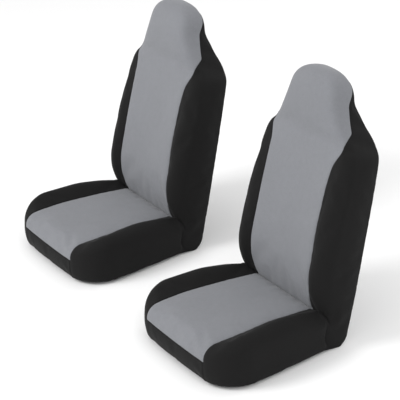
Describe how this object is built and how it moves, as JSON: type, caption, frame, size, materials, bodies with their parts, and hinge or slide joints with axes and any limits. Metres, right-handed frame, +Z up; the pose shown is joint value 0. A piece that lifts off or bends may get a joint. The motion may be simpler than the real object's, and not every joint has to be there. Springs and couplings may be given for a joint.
{
  "type": "vehicle seat cover set",
  "caption": "Pair of hollow high-back bucket seat covers with grey centre panels, black sides, reclining backrests, elastic hems, and underside straps with buckles and hooks.",
  "frame": {"origin": "centre of the pair's bounding box in X and Y, on the plane that the hems stand on", "axes": "+Z up, the covers face -Y, +X to the sitter's left; the driver's cover is at +X"},
  "size_m": [1.406, 0.688, 0.8518],
  "materials": {
    "grey_fabric": "fine flat knit, foam backed",
    "black_fabric": "fine flat knit, foam backed",
    "lining": "plain woven lining",
    "webbing": "ribbed polypropylene webbing",
    "elastic": "braided elastic",
    "black_plastic": "moulded acetal, satin",
    "hook_metal": "zinc-plated steel"
  },
  "bodies": {
    "seat_bottoms": {"driver_bight_flap": "lining", "driver_buckle_socket": "black_plastic", "driver_cross_strap_left": "webbing", "driver_cross_strap_right": "elastic", "driver_pull_strap_left": "elastic", "driver_pull_strap_right": "elastic", "driver_seat_front_band": "black_fabric", "driver_seat_hem": "black_fabric", "driver_seat_hem_elastic": "elastic", "driver_seat_left_side": "black_fabric", "driver_seat_right_side": "black_fabric", "driver_seat_top_panel": "grey_fabric", "driver_strap_slider": "black_plastic", "passenger_bight_flap": "lining", "passenger_buckle_socket": "black_plastic", "passenger_cross_strap_left": "webbing", "passenger_cross_strap_right": "elastic", "passenger_pull_strap_left": "elastic", "passenger_pull_strap_right": "elastic", "passenger_seat_front_band": "black_fabric", "passenger_seat_hem": "black_fabric", "passenger_seat_hem_elastic": "elastic", "passenger_seat_left_side": "black_fabric", "passenger_seat_right_side": "black_fabric", "passenger_seat_top_panel": "grey_fabric", "passenger_strap_slider": "black_plastic"},
    "driver_backrest": {"driver_back_centre_panel": "grey_fabric", "driver_back_hem": "black_fabric", "driver_back_hem_elastic": "elastic", "driver_back_left_side": "black_fabric", "driver_back_rear_panel": "black_fabric", "driver_back_right_side": "black_fabric"},
    "driver_plug": {"driver_buckle_plug": "black_plastic"},
    "driver_left_hook": {"driver_hook_left": "hook_metal"},
    "driver_right_hook": {"driver_hook_right": "hook_metal"},
    "passenger_backrest": {"passenger_back_centre_panel": "grey_fabric", "passenger_back_hem": "black_fabric", "passenger_back_hem_elastic": "elastic", "passenger_back_left_side": "black_fabric", "passenger_back_rear_panel": "black_fabric", "passenger_back_right_side": "black_fabric"},
    "passenger_plug": {"passenger_buckle_plug": "black_plastic"},
    "passenger_left_hook": {"passenger_hook_left": "hook_metal"},
    "passenger_right_hook": {"passenger_hook_right": "hook_metal"}
  },
  "joints": [
    {"name": "driver_recline", "type": "hinge", "parent": "seat_bottoms", "child": "driver_backrest", "pos_m": [0.435, 0.12403, 0.052], "axis": [-1, 0, 0], "range_deg": [-10, 40]},
    {"name": "driver_buckle_release", "type": "slide", "parent": "seat_bottoms", "child": "driver_plug", "axis": [-1, 0, 0], "range_m": [0, 0.03], "deforming": ["driver_cross_strap_right"]},
    {"name": "driver_left_hook_swing", "type": "hinge", "parent": "seat_bottoms", "child": "driver_left_hook", "pos_m": [0.525, -0.04097, 0.0044], "axis": [-1, 0, 0], "range_deg": [0, 100]},
    {"name": "driver_right_hook_swing", "type": "hinge", "parent": "seat_bottoms", "child": "driver_right_hook", "pos_m": [0.345, -0.04097, 0.0044], "axis": [-1, 0, 0], "range_deg": [0, 100]},
    {"name": "passenger_recline", "type": "hinge", "parent": "seat_bottoms", "child": "passenger_backrest", "pos_m": [-0.435, 0.12403, 0.052], "axis": [-1, 0, 0], "range_deg": [-10, 40]},
    {"name": "passenger_buckle_release", "type": "slide", "parent": "seat_bottoms", "child": "passenger_plug", "axis": [-1, 0, 0], "range_m": [0, 0.03], "deforming": ["passenger_cross_strap_right"]},
    {"name": "passenger_left_hook_swing", "type": "hinge", "parent": "seat_bottoms", "child": "passenger_left_hook", "pos_m": [-0.345, -0.04097, 0.0044], "axis": [-1, 0, 0], "range_deg": [0, 100]},
    {"name": "passenger_right_hook_swing", "type": "hinge", "parent": "seat_bottoms", "child": "passenger_right_hook", "pos_m": [-0.525, -0.04097, 0.0044], "axis": [-1, 0, 0], "range_deg": [0, 100]}
  ]
}
